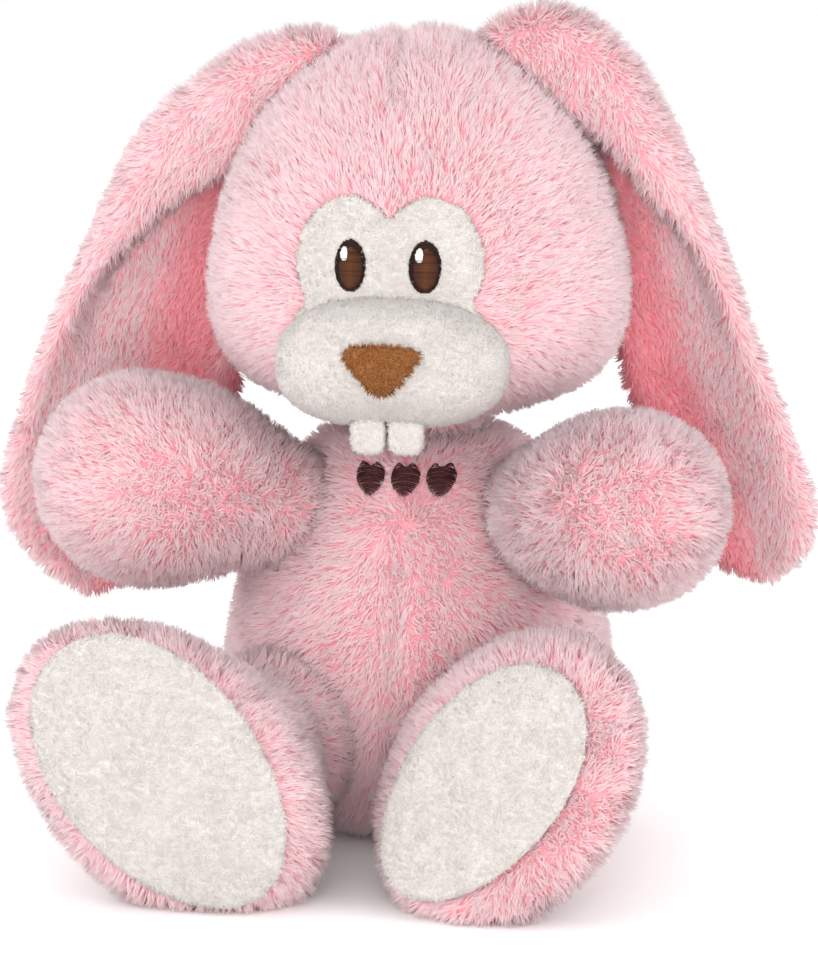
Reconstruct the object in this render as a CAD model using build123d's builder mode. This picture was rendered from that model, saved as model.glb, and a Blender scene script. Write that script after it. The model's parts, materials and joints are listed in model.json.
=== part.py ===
from build123d import *
from math import cos, radians, sin
import os

os.makedirs("parts", exist_ok=True)

# A seated plush rabbit, in millimetres. It faces -Y, its left side is +X, and the middle of
# its flat seat is the origin. The sizes are those of the fabric, without the pile on it.
SIDES = {"left": 1, "right": -1}
PLUSH = 2.5  # the pink cover, with its pile pressed flat
FLEECE = 1.5  # the white short-pile fabric
LINER = 0.8  # the pouch that holds the pellets
FILL_GAP = 0.15  # between a cover and its filling
SWING_GAP = 0.6  # between pieces that move past each other

TORSO_HALF_WIDTH = 59
TORSO_SIDE = [(34, 0), (51, 10), (59, 40), (55, 74), (44, 102), (28, 122), (0, 131)]
HEAD_DEPTH = 0.88  # front to back, as a share of the width
HEAD_LEVELS = [
    (139, 34), (146, 52), (158, 62), (170, 64), (194, 61.5), (216, 54), (234, 41), (246, 24), (251, 9),
]  # fmt: skip

NECK_CENTRE = (0, 0, 131)
NECK_RADIUS = 20

ARM_ROOT = 23  # radius of the shoulder
ARM_ROOM = 3  # around a shoulder, in the torso
HAND_RADIUS = 28.5
SHOULDER = {"left": (41, -21, 104), "right": (-41, -21, 104)}
HAND = {"left": (72, -63, 116), "right": (-86, -43, 123)}

LEG_ROOT = 26  # radius of the hip
HIP = {"left": (37, -42, 34), "right": (-37, -42, 34)}
SOLE_CENTRE = {"left": (36, -112, 41), "right": (-61, -122, 43)}
SOLE_TURN = {"left": (30, 24, -18), "right": (-43, 3, 0)}  # degrees: toe aside, toe back, yaw
SOLE_RADII = (46, 29)
SOLE_THICKNESS = 2.0
LEG_SECTIONS = [(0.15, 17, 17), (0.45, 27, 23), (0.74, 46, 31), (0.9, 48, 31.5), (1.0, 45.5, 28.5)]

EAR_HINGE = (38, 12, 238)  # the left ear's; the right ear's is its mirror image
EAR_THICKNESS = 12
EAR_EDGE = 4  # rounding of the ear's rim
EAR_DROOP = {"left": 0, "right": 3}  # degrees that the ear hangs away from the head
EAR_SOCKET = 13.8  # radius of the hollow in the head that an ear's root turns in
EAR_OUTLINE = [
    (-8, 1), (-2, 13), (12, 20), (29, 9), (43, -14), (58, -50), (74, -90), (85, -122),
    (86, -146), (76, -158), (58, -152), (45, -122), (34, -80), (28, -42), (17, -16), (2, -8),
]  # fmt: skip

TAIL_CENTRE = (0, 60, 31)
TAIL_RADIUS = 17
TAIL_ROOM = 19.6  # radius of the hollow in the torso that the tail wags in

MUZZLE_CENTRE = (0, -54, 159.5)
MUZZLE_HALF_WIDTH = 35
MUZZLE_RADIUS = 21
NOSE_CORNERS = [(-16, 168), (16, 168), (0, 148)]
NOSE_CORNER_RADIUS = 3.5
NOSE_HEIGHT = 4.5
MASK_LOBE = (12.5, 189)
MASK_LOBE_RADII = (17, 20.5)
MASK_BASE = (0, 168)
MASK_BASE_RADII = (30, 14)
TOOTH = (11, 13)
TOOTH_PLACE = (5.8, 136.5)
TOOTH_FRONT = -67
TOOTH_THICKNESS = 6
EYE_PLACE = (11.6, 188.5)
EYE_RADII = (5, 8)
GLINT_OFFSET = (-1.6, 3.6)
GLINT_RADII = (1.2, 1.8)
STITCHES = 1.0  # thickness of embroidery
ARC_ANGLES = [radians(angle) for angle in (0, 30, 60, 90, 120, 150, 180)]
PANEL_REACH = 150  # far enough forward to cross every layer
HEART_LOBE = 2.4
HEART_SPACING = 11
HEART_HEIGHT = 115

POUCH_CENTRE = (0, 12, 18)
POUCH_RADIUS = 32
POUCH_HALF_HEIGHT = 12


def torso_solid(growth):
    """The torso, turned about Z from its side line, larger by growth on every side."""
    height = TORSO_SIDE[-1][1]
    wider = (TORSO_HALF_WIDTH + growth) / TORSO_HALF_WIDTH
    taller = (height + 2 * growth) / height
    side = [(wider * radius, taller * level - growth) for radius, level in TORSO_SIDE]
    with BuildPart() as solid:
        with BuildSketch(Plane.XZ):
            with BuildLine():
                edge = Spline(*side)
                Polyline(edge @ 1, (0, side[0][1]), edge @ 0)
            make_face()
        revolve(axis=Axis.Z)
    return solid.part


def head_solid(growth):
    """The head, larger by growth on every side, through an ellipse at each level."""
    bottom, top = HEAD_LEVELS[0][0], HEAD_LEVELS[-1][0]
    middle = (bottom + top) / 2
    stretch = (top - bottom + 2 * growth) / (top - bottom)
    with BuildPart() as solid:
        for level, half_width in HEAD_LEVELS:
            with BuildSketch(Plane.XY.offset(middle + stretch * (level - middle))):
                Ellipse(half_width + growth, HEAD_DEPTH * half_width + growth)
        loft()
    return solid.part


def spheroid(centre, axis, along, across):
    """A solid of revolution about its axis, with a half ellipse as its profile."""
    section = Plane(origin=centre, x_dir=axis, z_dir=(0, 1, 0))
    with BuildPart() as solid:
        with BuildSketch(section):
            with BuildLine():
                rim = Spline(
                    *[(-along * cos(a), across * sin(a)) for a in ARC_ANGLES], tangents=((0, 1), (0, -1))
                )
                Line(rim @ 1, rim @ 0)
            make_face()
        revolve(axis=Axis(centre, axis))
    return solid.part


def muzzle_solid(growth):
    """The muzzle, a bar with round ends that lies across the face, larger by growth."""
    radius = MUZZLE_RADIUS + growth
    centre = MUZZLE_HALF_WIDTH - MUZZLE_RADIUS
    with BuildPart() as solid:
        with BuildSketch(Plane(origin=MUZZLE_CENTRE)):
            with BuildLine():
                left = CenterArc((-centre, 0), radius, 90, 90)
                right = CenterArc((centre, 0), radius, 0, 90)
                Line(left @ 0, right @ 1)
                Line(left @ 1, right @ 0)
            make_face()
        revolve(axis=Axis(MUZZLE_CENTRE, (1, 0, 0)))
    return solid.part


def pouch_solid(growth):
    """The pellet pouch, larger by growth on every side."""
    return spheroid(POUCH_CENTRE, (0, 0, 1), POUCH_HALF_HEIGHT + growth, POUCH_RADIUS + growth)


def arm_solid(side, growth=0):
    """A mitten-shaped arm about the line from its shoulder to its hand."""
    shoulder = Vector(SHOULDER[side])
    reach = Vector(HAND[side]) - shoulder
    length = reach.length
    flank = Plane(origin=shoulder, x_dir=reach, z_dir=reach.cross(Vector(0, 0, 1)))
    with BuildPart() as solid:
        with BuildSketch(flank):
            with BuildLine():
                root = CenterArc((0, 0), ARM_ROOT + growth, 90, 90)
                palm = (0.62 * length, 0.98 * HAND_RADIUS + growth)
                wide = (1.05 * length, 0.99 * HAND_RADIUS + growth)
                tip = (length + HAND_RADIUS + growth, 0)
                mitten = Spline(root @ 0, palm, wide, tip, tangents=((1, 0), (0, -1)))
                Line(mitten @ 1, root @ 1)
            make_face()
        revolve(axis=Axis(shoulder, reach))
    return solid.part


def turned_sole(direction, side):
    """A direction on an upright sole, turned as the sole on that side is."""
    aside, back, yaw = SOLE_TURN[side]
    return direction.rotate(Axis.Y, aside).rotate(Axis.X, -back).rotate(Axis.Z, yaw)


def sole_plane(side):
    """The plane of a sole, with X towards its toe and Z out of it."""
    toe = turned_sole(Vector(0, 0, 1), side)
    out = turned_sole(Vector(0, -1, 0), side)
    return Plane(origin=SOLE_CENTRE[side], x_dir=toe, z_dir=out)


def leg_solid(side, growth=0):
    """A leg that widens from its round hip to its egg-shaped foot."""
    hip = Vector(HIP[side])
    sole = sole_plane(side)
    with BuildPart() as solid:
        for share, long_radius, short_radius in LEG_SECTIONS:
            place = hip + (sole.origin - hip) * share + sole.z_dir * growth * share
            with BuildSketch(Plane(origin=place, x_dir=sole.x_dir, z_dir=sole.z_dir)):
                Ellipse(long_radius + growth, short_radius + growth)
        loft()
        with Locations(hip):
            Sphere(LEG_ROOT + growth)
    return solid.part


def ear_half(side, front):
    """The front or the back half of an ear, which lies in one upright plane."""
    sign = SIDES[side]
    hinge = (sign * EAR_HINGE[0], EAR_HINGE[1], EAR_HINGE[2])
    outward = Vector(sign, 0, 0).rotate(Axis.Y, -sign * EAR_DROOP[side])
    middle = Plane(origin=hinge, x_dir=outward, z_dir=(0, -sign, 0))
    depth = EAR_THICKNESS / 2 if front == (sign > 0) else -EAR_THICKNESS / 2
    with BuildPart() as solid:
        with BuildSketch(middle):
            with BuildLine():
                Spline(*EAR_OUTLINE, periodic=True)
            make_face()
        extrude(amount=depth)
        rim = solid.faces().sort_by(Axis.Y)[0 if front else -1].edges()
        fillet(rim, EAR_EDGE)
    return solid.part


def panel(outline, outer, inner):
    """The piece of a layer, from an inner to an outer solid, that an outline covers."""
    with BuildPart() as piece:
        extrude(outline, amount=PANEL_REACH, dir=(0, -1, 0))
        add(outer, mode=Mode.INTERSECT)
        add(inner, mode=Mode.SUBTRACT)
    return piece.part


# The hollows that the limbs and the tail turn in, in the torso, and the ears in the head.
with BuildPart() as torso_room:
    with Locations(NECK_CENTRE):
        Sphere(NECK_RADIUS + SWING_GAP)
    with Locations(*SHOULDER.values()):
        Sphere(ARM_ROOT + ARM_ROOM)
    with Locations(*HIP.values()):
        Sphere(LEG_ROOT + SWING_GAP)
    with Locations(TAIL_CENTRE):
        Sphere(TAIL_ROOM)

with BuildPart() as head_room:
    with Locations(NECK_CENTRE):
        Sphere(NECK_RADIUS + SWING_GAP)
    for sign in SIDES.values():
        with Locations(Location((sign * EAR_HINGE[0], EAR_HINGE[1], EAR_HINGE[2]), (90, 0, 0))):
            Cylinder(EAR_SOCKET, EAR_THICKNESS + 2 * SWING_GAP)

# The torso: its cover, its filling, and the pouch of pellets that makes it sit.
with BuildPart() as body_shell:
    add(torso_solid(0))
    add(torso_solid(-PLUSH), mode=Mode.SUBTRACT)
    add(torso_room.part, mode=Mode.SUBTRACT)
body_shell.part.label = "body_shell"
export_step(body_shell.part, "parts/body_shell.step")

with BuildPart() as body_stuffing:
    add(torso_solid(-PLUSH - FILL_GAP))
    add(torso_room.part, mode=Mode.SUBTRACT)
    add(pouch_solid(FILL_GAP), mode=Mode.SUBTRACT)
body_stuffing.part.label = "body_stuffing"
export_step(body_stuffing.part, "parts/body_stuffing.step")

with BuildPart() as bean_pouch:
    add(pouch_solid(0))
    add(pouch_solid(-LINER), mode=Mode.SUBTRACT)
bean_pouch.part.label = "bean_pouch"
export_step(bean_pouch.part, "parts/bean_pouch.step")

with BuildPart() as pellets:
    add(pouch_solid(-LINER - FILL_GAP))
pellets.part.label = "pellets"
export_step(pellets.part, "parts/pellets.step")

# Three small hearts in satin stitch on the chest.
with BuildSketch(Plane.XZ) as hearts:
    with Locations(*[(step * HEART_SPACING, HEART_HEIGHT) for step in (-1, 0, 1)]):
        with Locations((-0.8 * HEART_LOBE, 0), (0.8 * HEART_LOBE, 0)):
            Circle(HEART_LOBE)
        Polygon(
            (-1.65 * HEART_LOBE, -0.55 * HEART_LOBE),
            (0, 0.6 * HEART_LOBE),
            (1.65 * HEART_LOBE, -0.55 * HEART_LOBE),
            (0, -2.3 * HEART_LOBE),
            align=None,
        )
hearts_layer = panel(hearts.sketch, torso_solid(STITCHES), torso_solid(FILL_GAP))
with BuildPart() as chest_embroidery:
    add(hearts_layer)
chest_embroidery.part.label = "chest_embroidery"
export_step(chest_embroidery.part, "parts/chest_embroidery.step")

# The neck: the round plug of filling that head and torso turn about.
with BuildPart(Plane(origin=NECK_CENTRE)) as neck_stuffing:
    Sphere(NECK_RADIUS)
neck_stuffing.part.label = "neck_stuffing"
export_step(neck_stuffing.part, "parts/neck_stuffing.step")

# The head.
with BuildPart() as head_shell:
    add(head_solid(0))
    add(head_solid(-PLUSH), mode=Mode.SUBTRACT)
    add(head_room.part, mode=Mode.SUBTRACT)
head_shell.part.label = "head_shell"
export_step(head_shell.part, "parts/head_shell.step")

with BuildPart() as head_stuffing:
    add(head_solid(-PLUSH - FILL_GAP))
    add(head_room.part, mode=Mode.SUBTRACT)
head_stuffing.part.label = "head_stuffing"
export_step(head_stuffing.part, "parts/head_stuffing.step")

# The face: mask, muzzle, nose, teeth and embroidered eyes.
skin = head_solid(FILL_GAP)
mask_top = head_solid(FLEECE)
eye_bed = head_solid(FLEECE + FILL_GAP)
eye_top = head_solid(FLEECE + STITCHES)
glint_bed = head_solid(FLEECE + STITCHES + FILL_GAP)
glint_top = head_solid(FLEECE + 1.5 * STITCHES)

with BuildSketch(Plane.XZ) as mask_outline:
    with Locations((-MASK_LOBE[0], MASK_LOBE[1]), MASK_LOBE):
        Ellipse(*MASK_LOBE_RADII)
    with Locations(MASK_BASE):
        Ellipse(*MASK_BASE_RADII)
mask_layer = panel(mask_outline.sketch, mask_top, skin)
with BuildPart() as face_mask:
    add(mask_layer)
    add(muzzle_solid(FILL_GAP), mode=Mode.SUBTRACT)
face_mask.part.label = "face_mask"
export_step(face_mask.part, "parts/face_mask.step")

with BuildPart() as muzzle_shell:
    add(muzzle_solid(0))
    add(muzzle_solid(-FLEECE), mode=Mode.SUBTRACT)
    add(skin, mode=Mode.SUBTRACT)
muzzle_shell.part.label = "muzzle_shell"
export_step(muzzle_shell.part, "parts/muzzle_shell.step")

with BuildPart() as muzzle_stuffing:
    add(muzzle_solid(-FLEECE - FILL_GAP))
    add(skin, mode=Mode.SUBTRACT)
muzzle_stuffing.part.label = "muzzle_stuffing"
export_step(muzzle_stuffing.part, "parts/muzzle_stuffing.step")

with BuildSketch(Plane.XZ) as nose_outline:
    Polygon(*NOSE_CORNERS, align=None)
    fillet(nose_outline.vertices(), NOSE_CORNER_RADIUS)
nose_layer = panel(nose_outline.sketch, muzzle_solid(NOSE_HEIGHT), muzzle_solid(FILL_GAP))
with BuildPart() as nose:
    add(nose_layer)
    add(skin, mode=Mode.SUBTRACT)
nose.part.label = "nose"
export_step(nose.part, "parts/nose.step")

for side, sign in SIDES.items():
    with BuildPart() as tooth:
        with BuildSketch(Plane.XZ.offset(-TOOTH_FRONT)):
            with Locations((sign * TOOTH_PLACE[0], TOOTH_PLACE[1])):
                RectangleRounded(*TOOTH, 0.35 * TOOTH[0])
        extrude(amount=-TOOTH_THICKNESS)
        add(muzzle_solid(FILL_GAP), mode=Mode.SUBTRACT)
    tooth.part.label = f"tooth_{side}"
    export_step(tooth.part, f"parts/tooth_{side}.step")

    with BuildSketch(Plane.XZ) as eye_outline:
        with Locations((sign * EYE_PLACE[0], EYE_PLACE[1])):
            Ellipse(*EYE_RADII)
    eye_layer = panel(eye_outline.sketch, eye_top, eye_bed)
    with BuildPart() as eye:
        add(eye_layer)
    eye.part.label = f"eye_{side}"
    export_step(eye.part, f"parts/eye_{side}.step")

    with BuildSketch(Plane.XZ) as glint_outline:
        with Locations((sign * EYE_PLACE[0] + GLINT_OFFSET[0], EYE_PLACE[1] + GLINT_OFFSET[1])):
            Ellipse(*GLINT_RADII)
    glint_layer = panel(glint_outline.sketch, glint_top, glint_bed)
    with BuildPart() as eye_highlight:
        add(glint_layer)
    eye_highlight.part.label = f"eye_highlight_{side}"
    export_step(eye_highlight.part, f"parts/eye_highlight_{side}.step")

# Ears, arms and legs.
for side in SIDES:
    with BuildPart() as ear_front:
        add(ear_half(side, True))
    ear_front.part.label = f"ear_{side}_front"
    export_step(ear_front.part, f"parts/ear_{side}_front.step")

    with BuildPart() as ear_back:
        add(ear_half(side, False))
    ear_back.part.label = f"ear_{side}_back"
    export_step(ear_back.part, f"parts/ear_{side}_back.step")

    with BuildPart() as arm_shell:
        add(arm_solid(side))
        add(arm_solid(side, -PLUSH), mode=Mode.SUBTRACT)
    arm_shell.part.label = f"arm_{side}_shell"
    export_step(arm_shell.part, f"parts/arm_{side}_shell.step")

    with BuildPart() as arm_stuffing:
        add(arm_solid(side, -PLUSH - FILL_GAP))
    arm_stuffing.part.label = f"arm_{side}_stuffing"
    export_step(arm_stuffing.part, f"parts/arm_{side}_stuffing.step")

    with BuildPart() as leg_shell:
        add(leg_solid(side))
        add(leg_solid(side, -PLUSH), mode=Mode.SUBTRACT)
    leg_shell.part.label = f"leg_{side}_shell"
    export_step(leg_shell.part, f"parts/leg_{side}_shell.step")

    with BuildPart() as leg_stuffing:
        add(leg_solid(side, -PLUSH - FILL_GAP))
    leg_stuffing.part.label = f"leg_{side}_stuffing"
    export_step(leg_stuffing.part, f"parts/leg_{side}_stuffing.step")

    with BuildPart() as sole:
        with BuildSketch(sole_plane(side).offset(FILL_GAP)):
            Ellipse(*SOLE_RADII)
        extrude(amount=SOLE_THICKNESS)
        fillet(sole.edges().filter_by(GeomType.ELLIPSE), 0.4 * SOLE_THICKNESS)
    sole.part.label = f"sole_{side}"
    export_step(sole.part, f"parts/sole_{side}.step")

# The tail.
with BuildPart(Plane(origin=TAIL_CENTRE)) as tail_shell:
    Sphere(TAIL_RADIUS)
    Sphere(TAIL_RADIUS - PLUSH, mode=Mode.SUBTRACT)
tail_shell.part.label = "tail_shell"
export_step(tail_shell.part, "parts/tail_shell.step")

with BuildPart(Plane(origin=TAIL_CENTRE)) as tail_stuffing:
    Sphere(TAIL_RADIUS - PLUSH - FILL_GAP)
tail_stuffing.part.label = "tail_stuffing"
export_step(tail_stuffing.part, "parts/tail_stuffing.step")
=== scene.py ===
import json
import bmesh
import bpy
import numpy as np
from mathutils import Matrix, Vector
from mathutils.bvhtree import BVHTree


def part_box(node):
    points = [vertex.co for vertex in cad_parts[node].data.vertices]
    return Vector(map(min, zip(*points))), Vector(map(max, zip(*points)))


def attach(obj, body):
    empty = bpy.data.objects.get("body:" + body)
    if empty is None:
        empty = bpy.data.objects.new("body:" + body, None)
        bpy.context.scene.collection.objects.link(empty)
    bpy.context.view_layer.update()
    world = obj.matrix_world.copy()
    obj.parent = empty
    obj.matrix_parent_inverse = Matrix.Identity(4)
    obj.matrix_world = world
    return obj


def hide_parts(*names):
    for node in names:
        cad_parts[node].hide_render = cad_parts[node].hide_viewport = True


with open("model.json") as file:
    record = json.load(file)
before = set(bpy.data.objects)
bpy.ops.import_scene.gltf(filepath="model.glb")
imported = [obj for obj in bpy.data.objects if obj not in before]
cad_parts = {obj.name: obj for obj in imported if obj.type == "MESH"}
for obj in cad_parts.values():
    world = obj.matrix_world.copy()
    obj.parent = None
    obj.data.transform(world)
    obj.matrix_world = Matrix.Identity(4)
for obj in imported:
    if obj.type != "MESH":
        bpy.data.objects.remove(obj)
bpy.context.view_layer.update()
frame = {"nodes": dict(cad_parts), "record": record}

MM = 0.001
SIDES = {"left": 1, "right": -1}
PILE = 5.4 * MM  # length of a pink strand
EAR_PILE = 4.8 * MM
CHEST_PILE = 3.4 * MM  # the shorter pile around the hearts
FLEECE_PILE = 1.25 * MM
TOOTH_PILE = 0.9 * MM
NOSE_PILE = 1.8 * MM
FUR_WIDTH = 0.56 * MM  # of a strand at its root
CHEST_WIDTH = 0.42 * MM
NAP_WIDTH = 0.5 * MM
ROOT_DEPTH = 0.4 * MM  # how far inside its skin a strand starts
FUR_TUFT = 2.3 * MM  # size of a tuft
NAP_TUFT = 1.5 * MM
TUFT_PULL = 0.7  # how much of the way to the middle of its tuft a tip is drawn
PER_MM2 = {  # strands to the square millimetre
    "head": 2.7, "body": 2.3, "neck": 2.0, "tail": 2.4, "chest": 2.4,
    "ear": 2.5, "arm": 2.7, "leg": 2.7, "fleece": 5.0, "tooth": 6.0,
}
FLOOR_GAP = 0.3 * MM  # lowest that any strand reaches
MAX_STRANDS = 64000  # in one piece, so that each stays under 200,000 triangles
THIN = 1.0  # share of the strands that are made
SKIN_MESH = 4 * MM  # size of the faces of a skin before it is blown up
EAR_MESH = 2.5 * MM
BLOW_FRAMES = 20
BLOW_CAP = 2.6 * MM  # furthest that the cloth may swell
FRONT_START = -0.3  # in front of the toy, where lines toward it start


# ---------------------------------------------------------------- helpers on arrays


def unit(v):
    """Rows of v at length one."""
    return v / np.maximum(np.linalg.norm(v, axis=-1, keepdims=True), 1e-12)


def smooth(low, high, x):
    """0 below low, 1 above high, and a soft step between them."""
    t = np.clip((x - low) / (high - low), 0, 1)
    return t * t * (3 - 2 * t)


def hashed(cells, seed):
    """Three numbers from 0 to 1 for each whole-numbered cell, the same ones each time."""
    h = cells.astype(np.int64) @ np.array([73856093, 19349663, 83492791]) + seed * 2654435761
    numbers = []
    for step in (1, 2, 3):
        h = (h ^ (h >> 13)) * 1274126177 + step * 668265263
        numbers.append(((h >> 8) & 0xFFFFFF) / float(0xFFFFFF))
    return np.stack(numbers, -1)


def waves(points, size, seed):
    """A soft random vector at each point, which changes over about that size."""
    grid = points / size
    base = np.floor(grid)
    part = grid - base
    part = part * part * (3 - 2 * part)
    total = np.zeros_like(points)
    for corner in np.ndindex(2, 2, 2):
        corner = np.array(corner)
        weight = np.prod(np.where(corner, part, 1 - part), axis=1)
        total += weight[:, None] * (hashed(base + corner, seed) * 2 - 1)
    return total


def tufts(points, size, seed):
    """The middle of the tuft that each point belongs to, and three random numbers of that tuft."""
    cell = np.floor(points / size)
    nearest = np.full(len(points), np.inf)
    middle = points.copy()
    luck = np.zeros_like(points)
    for shift in np.ndindex(3, 3, 3):
        near = cell + np.array(shift) - 1
        numbers = hashed(near, seed)
        place = (near + numbers) * size
        gap = ((place - points) ** 2).sum(1)
        closer = gap < nearest
        nearest = np.where(closer, gap, nearest)
        middle[closer] = place[closer]
        luck[closer] = numbers[closer]
    return middle, luck


# ---------------------------------------------------------------- helpers on meshes


def new_object(name, data):
    """An object in the scene that holds the data."""
    obj = bpy.data.objects.new(name, data)
    bpy.context.scene.collection.objects.link(obj)
    return obj


def mesh_object(name, verts, faces, smooth_faces=True):
    """A new object from points and faces."""
    mesh = bpy.data.meshes.new(name)
    mesh.from_pydata([tuple(v) for v in verts], [], [tuple(f) for f in faces])
    mesh.validate()
    if smooth_faces:
        mesh.shade_smooth()
    return new_object(name, mesh)


def facing_out(obj):
    """The object with all its faces turned outward."""
    bm = bmesh.new()
    bm.from_mesh(obj.data)
    bmesh.ops.recalc_face_normals(bm, faces=bm.faces)
    bm.to_mesh(obj.data)
    bm.free()
    return obj


def points_of(obj):
    """The object's points, one to a row."""
    co = np.zeros(len(obj.data.vertices) * 3)
    obj.data.vertices.foreach_get("co", co)
    return co.reshape(-1, 3)


def set_points(obj, co):
    """Moves the object's points to the given rows."""
    obj.data.vertices.foreach_set("co", np.ascontiguousarray(co, float).ravel())
    obj.data.update()


def normals_of(obj):
    """The object's normals, one to a point."""
    normals = np.zeros(len(obj.data.vertices) * 3)
    obj.data.vertices.foreach_get("normal", normals)
    return normals.reshape(-1, 3)


def apply_modifiers(obj):
    """The object's mesh becomes what its modifiers make of it."""
    graph = bpy.context.evaluated_depsgraph_get()
    mesh = bpy.data.meshes.new_from_object(obj.evaluated_get(graph))
    obj.modifiers.clear()
    old = obj.data
    obj.data = mesh
    bpy.data.meshes.remove(old)


def remeshed(obj, voxel):
    """The object with an even, relaxed mesh of about that size."""
    remesh = obj.modifiers.new("Remesh", "REMESH")
    remesh.mode = "VOXEL"
    remesh.voxel_size = voxel
    apply_modifiers(obj)
    relax = obj.modifiers.new("Relax", "SMOOTH")
    relax.factor = 0.5
    relax.iterations = 6
    apply_modifiers(obj)
    obj.data.shade_smooth()
    return obj


def hull_skin(name, node):
    """A closed skin drawn tight over a CAD node."""
    bm = bmesh.new()
    for p in np.unique(np.round(points_of(frame["nodes"][node]), 4), axis=0):
        bm.verts.new(p)
    made = bmesh.ops.convex_hull(bm, input=bm.verts)
    spare = [e for e in made["geom_interior"] if isinstance(e, bmesh.types.BMVert)]
    bmesh.ops.delete(bm, geom=spare, context="VERTS")
    mesh = bpy.data.meshes.new(name)
    bm.to_mesh(mesh)
    bm.free()
    return remeshed(new_object(name, mesh), SKIN_MESH)


def node_skin(name, node):
    """A closed skin that follows the shape of a CAD node."""
    return remeshed(new_object(name, frame["nodes"][node].data.copy()), SKIN_MESH)


def subdivide(obj):
    """Cuts each face in four and rounds the result."""
    obj.modifiers.new("Subdivide", "SUBSURF").levels = 1
    apply_modifiers(obj)
    obj.data.shade_smooth()


def blow_up(objects, cap):
    """Blows each skin up from inside with cloth, by no more than cap anywhere."""
    scene = bpy.context.scene
    scene.frame_start, scene.frame_end = 1, BLOW_FRAMES
    for obj in objects:
        cloth = obj.modifiers.new("Cloth", "CLOTH")
        cloth.settings.quality = 4
        cloth.settings.mass = 0.3
        cloth.settings.use_pressure = True
        cloth.settings.uniform_pressure_force = 4
        cloth.settings.effector_weights.gravity = 0
        cloth.point_cache.frame_start = 1
        cloth.point_cache.frame_end = BLOW_FRAMES
    for step in range(1, BLOW_FRAMES + 1):
        scene.frame_set(step)
    graph = bpy.context.evaluated_depsgraph_get()
    blown = {}
    for obj in objects:
        shown = obj.evaluated_get(graph).to_mesh()
        co = np.zeros(len(shown.vertices) * 3)
        shown.vertices.foreach_get("co", co)
        blown[obj.name] = co.reshape(-1, 3)
    for obj in objects:
        obj.modifiers.clear()
        rest = points_of(obj)
        shift = blown[obj.name] - rest
        far = np.linalg.norm(shift, axis=1, keepdims=True)
        set_points(obj, rest + shift * np.minimum(1, cap / np.maximum(far, 1e-9)))
    scene.frame_set(1)


def swell(obj, amount):
    """Moves the skin out along its normals."""
    set_points(obj, points_of(obj) + normals_of(obj) * amount)


def above_floor(obj):
    """Lifts whatever is under the floor."""
    co = points_of(obj)
    co[:, 2] = np.maximum(co[:, 2], FLOOR_GAP)
    set_points(obj, co)
    return obj


def surface_of(obj):
    """A search tree of the object's faces, for laying things on it."""
    return BVHTree.FromPolygons(
        [v.co for v in obj.data.vertices], [p.vertices for p in obj.data.polygons]
    )


def from_front(tree, x, z):
    """Where a line along +Y at x and z first meets a surface, and the normal there."""
    hit, normal, _, _ = tree.ray_cast(Vector((x, FRONT_START, z)), Vector((0, 1, 0)))
    return hit, normal


# ---------------------------------------------------------------- materials


def material(name, roughness, color=None, sheen=0.0, specular=0.3):
    """A material with a Principled shader, and that shader."""
    mat = bpy.data.materials.new(name)
    mat.use_nodes = True
    shader = mat.node_tree.nodes["Principled BSDF"]
    shader.inputs["Roughness"].default_value = roughness
    shader.inputs["Specular IOR Level"].default_value = specular
    shader.inputs["Sheen Weight"].default_value = sheen
    shader.inputs["Sheen Tint"].default_value = (1, 0.8, 0.83, 1)
    if color:
        shader.inputs["Base Color"].default_value = (*color, 1)
    return mat, shader


def ramp(mat, source, stops):
    """A colour ramp that a number drives."""
    node = mat.node_tree.nodes.new("ShaderNodeValToRGB")
    while len(node.color_ramp.elements) < len(stops):
        node.color_ramp.elements.new(0.5)
    for element, (place, color) in zip(node.color_ramp.elements, stops):
        element.position = place
        element.color = (*color, 1)
    mat.node_tree.links.new(source, node.inputs["Fac"])
    return node.outputs["Color"]


def noise_of(mat, scale, detail=3.0):
    """Noise over the object's own space, at that many cells to the metre."""
    nodes, links = mat.node_tree.nodes, mat.node_tree.links
    place = nodes.new("ShaderNodeTexCoord")
    node = nodes.new("ShaderNodeTexNoise")
    node.inputs["Scale"].default_value = scale
    node.inputs["Detail"].default_value = detail
    links.new(place.outputs["Object"], node.inputs["Vector"])
    return node.outputs["Fac"]


def bump(mat, shader, height, depth):
    """Relief of that depth in metres, from a number between 0 and 1."""
    node = mat.node_tree.nodes.new("ShaderNodeBump")
    node.inputs["Distance"].default_value = depth
    node.inputs["Strength"].default_value = 1.0
    mat.node_tree.links.new(height, node.inputs["Height"])
    mat.node_tree.links.new(node.outputs["Normal"], shader.inputs["Normal"])


def strand_material(name, root, middle, tip, painted_hollow_shade, roughness=0.85, sheen=0.0):
    """Strands that change from root to tip, each with its own random tone; the fourth tint is painted
    shade in the hollows, which tones below 0.4 go toward.
    """
    mat, shader = material(name, roughness, sheen=sheen, specular=0.15)
    nodes, links = mat.node_tree.nodes, mat.node_tree.links
    uv = nodes.new("ShaderNodeUVMap")
    uv.uv_map = "OFBake"
    split = nodes.new("ShaderNodeSeparateXYZ")
    links.new(uv.outputs["UV"], split.inputs["Vector"])
    along = ramp(mat, split.outputs["Y"], [(0.0, root), (0.5, middle), (1.0, tip)])
    across = ramp(mat, split.outputs["X"], [(0.0, painted_hollow_shade), (0.4, (0.93, 0.91, 0.91)), (1.0, (1, 1, 1))])
    mix = nodes.new("ShaderNodeMix")
    mix.data_type = "RGBA"
    mix.blend_type = "MULTIPLY"
    mix.inputs["Factor"].default_value = 1
    links.new(along, mix.inputs["A"])
    links.new(across, mix.inputs["B"])
    links.new(mix.outputs["Result"], shader.inputs["Base Color"])
    return mat


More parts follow.
